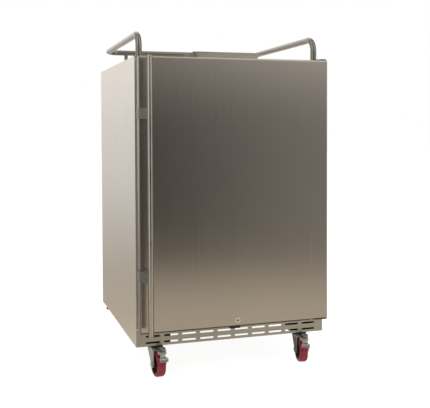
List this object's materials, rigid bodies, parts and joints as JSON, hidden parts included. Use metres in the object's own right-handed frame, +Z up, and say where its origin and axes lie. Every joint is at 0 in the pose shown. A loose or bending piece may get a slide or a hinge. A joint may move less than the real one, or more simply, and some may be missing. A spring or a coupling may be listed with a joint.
{
  "type": "kegerator",
  "caption": "Free-standing stainless keg cooler with a full-height tube handle, lockable door, guard rail, drip tray and braked swivel casters.",
  "frame": {"origin": "on the floor, under the centre of the overall box", "axes": "+X towards the hinge side, +Y from the door towards the back, +Z up"},
  "size_m": [0.606, 0.7, 1.0335],
  "materials": {
    "black_steel": "satin black",
    "bracket_cast": "satin grey",
    "coil_aluminium": "mill finish",
    "cord_rubber": "matt",
    "cylinder_aluminium": "brushed",
    "dark_plastic": "matt",
    "fan_plastic": "matt",
    "floor_steel": "satin",
    "foam": "matt cut foam",
    "galvanised": "matt zinc coated sheet",
    "gasket_rubber": "matt",
    "gauge_steel": "bright",
    "handle_steel": "satin polished",
    "hinge_dark": "satin black",
    "hub_black": "satin moulded",
    "knob_plastic": "satin",
    "liner_plastic": "satin",
    "lock_chrome": "bright",
    "nylon": "matt",
    "rail_steel": "satin polished",
    "screw_steel": "bright",
    "stainless_door": "brushed, vertical grain",
    "stainless_grille": "brushed, fine grain",
    "stainless_side": "brushed, fine grain",
    "stainless_top": "brushed, fine grain",
    "tray_steel": "satin",
    "tread_red": "satin moulded",
    "valve_brass": "satin",
    "zinc": "bright zinc plate"
  },
  "bodies": {
    "cabinet": {"back_panel": "galvanised", "base_pan": "galvanised", "cabinet_insulation": "foam", "caster_plates": "zinc", "caster_rails": "black_steel", "co2_cylinder": "cylinder_aluminium", "compressor": "black_steel", "condenser_coil": "coil_aluminium", "condenser_fan_bracket": "galvanised", "cover_screws": "screw_steel", "cylinder_bracket": "galvanised", "cylinder_valve": "valve_brass", "evaporator_coil": "coil_aluminium", "evaporator_cover": "liner_plastic", "floor_plate": "floor_steel", "front_frame": "dark_plastic", "guard_rail": "rail_steel", "hinge_plates": "hinge_dark", "inner_liner": "liner_plastic", "kick_grille": "stainless_grille", "lock_strike": "hinge_dark", "power_cord": "cord_rubber", "pressure_gauges": "gauge_steel", "rear_grille": "galvanised", "regulator_body": "valve_brass", "side_panel_left": "stainless_side", "side_panel_right": "stainless_side", "thermostat_housing": "liner_plastic", "top_panel": "stainless_top", "tower_cap": "dark_plastic"},
    "door": {"door_skin": "stainless_door", "door_insulation": "foam", "door_liner": "liner_plastic", "door_gasket": "gasket_rubber", "handle_tube": "handle_steel", "handle_brackets": "bracket_cast", "lock_housing": "lock_chrome", "hinge_bushes": "nylon"},
    "lock_cam": {"lock_plug": "lock_chrome"},
    "tray": {"drip_tray_pan": "tray_steel"},
    "tray_grate": {"drip_tray_grate": "tray_steel"},
    "thermostat_dial": {"thermostat_knob": "knob_plastic"},
    "cold_fan": {"evaporator_fan": "fan_plastic"},
    "warm_fan": {"condenser_fan": "fan_plastic"},
    "valve_wheel": {"cylinder_valve_knob": "knob_plastic"},
    "pressure_dial": {"regulator_knob": "knob_plastic"},
    "caster_front_left": {"caster_fork_front_left": "zinc"},
    "wheel_front_left": {"wheel_hub_front_left": "hub_black", "wheel_tread_front_left": "tread_red"},
    "brake_front_left": {"brake_pedal_front_left": "zinc"},
    "caster_front_right": {"caster_fork_front_right": "zinc"},
    "wheel_front_right": {"wheel_hub_front_right": "hub_black", "wheel_tread_front_right": "tread_red"},
    "brake_front_right": {"brake_pedal_front_right": "zinc"},
    "caster_rear_left": {"caster_fork_rear_left": "zinc"},
    "wheel_rear_left": {"wheel_hub_rear_left": "hub_black", "wheel_tread_rear_left": "tread_red"},
    "caster_rear_right": {"caster_fork_rear_right": "zinc"},
    "wheel_rear_right": {"wheel_hub_rear_right": "hub_black", "wheel_tread_rear_right": "tread_red"}
  },
  "joints": [
    {"name": "door_hinge", "type": "hinge", "parent": "cabinet", "child": "door", "pos_m": [0.288, -0.278, 0.5485], "axis": [0, 0, 1], "range_deg": [0, 110]},
    {"name": "lock_turn", "type": "hinge", "parent": "door", "child": "lock_cam", "pos_m": [0, -0.292, 0.162], "axis": [0, -1, 0], "range_deg": [0, 90]},
    {"name": "swivel_front_left", "type": "hinge", "parent": "cabinet", "child": "caster_front_left", "pos_m": [-0.238, -0.212, 0.093], "axis": [0, 0, 1], "continuous": true},
    {"name": "wheel_spin_front_left", "type": "hinge", "parent": "caster_front_left", "child": "wheel_front_left", "pos_m": [-0.23521, -0.24388, 0.038], "axis": [0.9962, 0.0872, 0], "continuous": true},
    {"name": "brake_press_front_left", "type": "hinge", "parent": "caster_front_left", "child": "brake_front_left", "pos_m": [-0.23495, -0.24687, 0.0826], "axis": [0.9962, 0.0872, 0], "range_deg": [0, 10], "stiffness_Nm_per_rad": 0.6, "springref_deg": -20.05},
    {"name": "swivel_front_right", "type": "hinge", "parent": "cabinet", "child": "caster_front_right", "pos_m": [0.238, -0.212, 0.093], "axis": [0, 0, 1], "continuous": true},
    {"name": "wheel_spin_front_right", "type": "hinge", "parent": "caster_front_right", "child": "wheel_front_right", "pos_m": [0.23244, -0.24351, 0.038], "axis": [0.9848, -0.1736, 0], "continuous": true},
    {"name": "brake_press_front_right", "type": "hinge", "parent": "caster_front_right", "child": "brake_front_right", "pos_m": [0.23192, -0.24647, 0.0826], "axis": [0.9848, -0.1736, 0], "range_deg": [0, 10], "stiffness_Nm_per_rad": 0.6, "springref_deg": -20.05},
    {"name": "swivel_rear_left", "type": "hinge", "parent": "cabinet", "child": "caster_rear_left", "pos_m": [-0.238, 0.278, 0.093], "axis": [0, 0, 1], "continuous": true},
    {"name": "wheel_spin_rear_left", "type": "hinge", "parent": "caster_rear_left", "child": "wheel_rear_left", "pos_m": [-0.20793, 0.28895, 0.038], "axis": [0.342, -0.9397, 0], "continuous": true},
    {"name": "swivel_rear_right", "type": "hinge", "parent": "cabinet", "child": "caster_rear_right", "pos_m": [0.238, 0.278, 0.093], "axis": [0, 0, 1], "continuous": true},
    {"name": "wheel_spin_rear_right", "type": "hinge", "parent": "caster_rear_right", "child": "wheel_rear_right", "pos_m": [0.21743, 0.30251, 0.038], "axis": [0.766, 0.6428, 0], "continuous": true},
    {"name": "thermostat_turn", "type": "hinge", "parent": "cabinet", "child": "thermostat_dial", "pos_m": [0.16, 0.13, 0.878], "axis": [0, -1, 0], "range_deg": [-270, 0]},
    {"name": "cold_fan_spin", "type": "hinge", "parent": "cabinet", "child": "cold_fan", "pos_m": [0.075, 0.254, 0.74], "axis": [0, 1, 0], "continuous": true},
    {"name": "warm_fan_spin", "type": "hinge", "parent": "cabinet", "child": "warm_fan", "pos_m": [-0.096, 0.281, 0.2212], "axis": [1, 0, 0], "continuous": true},
    {"name": "cylinder_valve_turn", "type": "hinge", "parent": "cabinet", "child": "valve_wheel", "pos_m": [-0.192, 0.231, 0.707], "axis": [0, 0, 1], "range_deg": [0, 540]},
    {"name": "regulator_turn", "type": "hinge", "parent": "cabinet", "child": "pressure_dial", "pos_m": [-0.111, 0.231, 0.6812], "axis": [1, 0, 0], "range_deg": [-360, 360]},
    {"name": "tray_lift", "type": "slide", "parent": "cabinet", "child": "tray", "axis": [0, 0, 1], "range_m": [0, 0.08]},
    {"name": "grate_lift", "type": "slide", "parent": "tray", "child": "tray_grate", "axis": [0, 0, 1], "range_m": [0, 0.06]}
  ]
}
